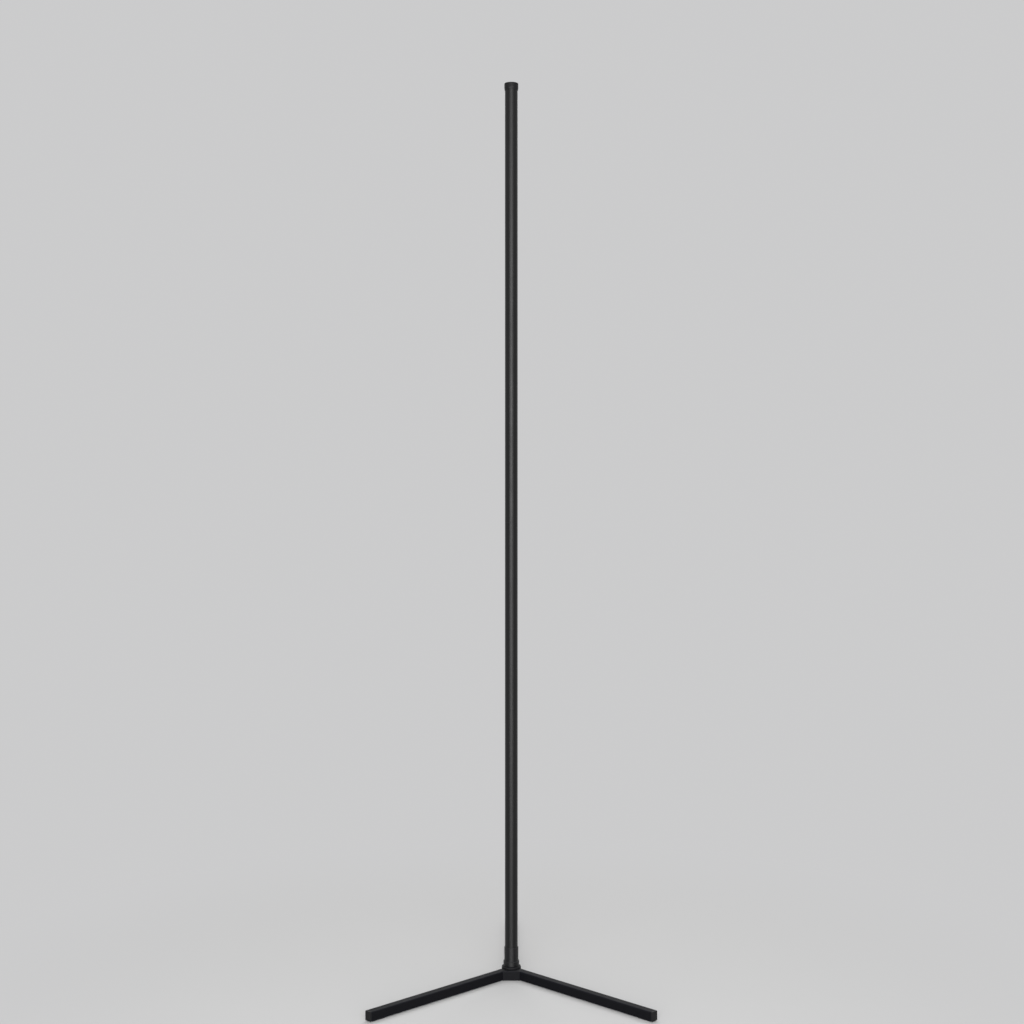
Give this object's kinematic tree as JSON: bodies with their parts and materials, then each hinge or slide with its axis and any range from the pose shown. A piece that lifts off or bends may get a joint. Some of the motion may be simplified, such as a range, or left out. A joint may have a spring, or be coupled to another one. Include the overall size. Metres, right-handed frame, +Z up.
{
  "type": "floor lamp",
  "caption": "Slender corner floor lamp: a round black pole with a light slot down its back, turning on a hub with flat floor legs.",
  "frame": {"origin": "on the pole's axis at floor level, in the hub pad's underside", "axes": "+Z up along the pole, +Y backwards where the light shines, so that the front legs point to -Y on both sides"},
  "size_m": [0.4186, 0.4993, 1.4],
  "materials": {
    "leg_paint": "satin",
    "hub_casting": "satin",
    "anodised_pole": "satin",
    "ring_finish": "satin",
    "cap_plastic": "satin",
    "pad_rubber": "matte",
    "bright_screw": "satin",
    "dark_screw": "satin",
    "spring_steel": "satin",
    "bare_aluminium": "satin",
    "slide_plastic": "satin",
    "jack_plastic": "satin",
    "contact_metal": "polished",
    "board_laminate": "satin",
    "chip_plastic": "matte",
    "capacitor_can": "satin",
    "strip_film": "satin",
    "chip_phosphor": "satin",
    "diffuser_silicone": "satin"
  },
  "bodies": {
    "base": {"hub": "hub_casting", "front_leg_left": "leg_paint", "front_leg_right": "leg_paint", "rear_leg": "leg_paint", "left_end_cap": "cap_plastic", "right_end_cap": "cap_plastic", "rear_end_cap": "cap_plastic", "left_tip_pad": "pad_rubber", "right_tip_pad": "pad_rubber", "rear_tip_pad": "pad_rubber", "hub_pad": "pad_rubber", "leg_screws": "bright_screw", "base_flange": "ring_finish", "flange_screws": "bright_screw", "thrust_disc": "slide_plastic", "disc_spring": "spring_steel"},
    "pole": {"pivot_bolt": "dark_screw", "bolt_washer": "spring_steel", "pole_foot": "bare_aluminium", "turning_collar": "ring_finish", "pole_sleeve": "ring_finish", "foot_screws": "dark_screw", "pole_section_1": "anodised_pole", "pole_section_2": "anodised_pole", "pole_section_3": "anodised_pole", "pole_section_4": "anodised_pole", "joiner_1": "bare_aluminium", "joiner_2": "bare_aluminium", "joiner_3": "bare_aluminium", "joiner_screws": "dark_screw", "inlet_insert": "cap_plastic", "power_jack": "jack_plastic", "jack_contacts": "contact_metal", "control_board": "board_laminate", "controller_chip": "chip_plastic", "smoothing_capacitor": "capacitor_can", "signal_receiver": "chip_plastic", "light_strip": "strip_film", "light_chips": "chip_phosphor", "diffuser": "diffuser_silicone", "top_cap": "cap_plastic"}
  },
  "joints": [
    {"name": "pole_swivel", "type": "hinge", "parent": "base", "child": "pole", "pos_m": [0, 0, 0.0183], "axis": [0, 0, 1], "continuous": true}
  ]
}
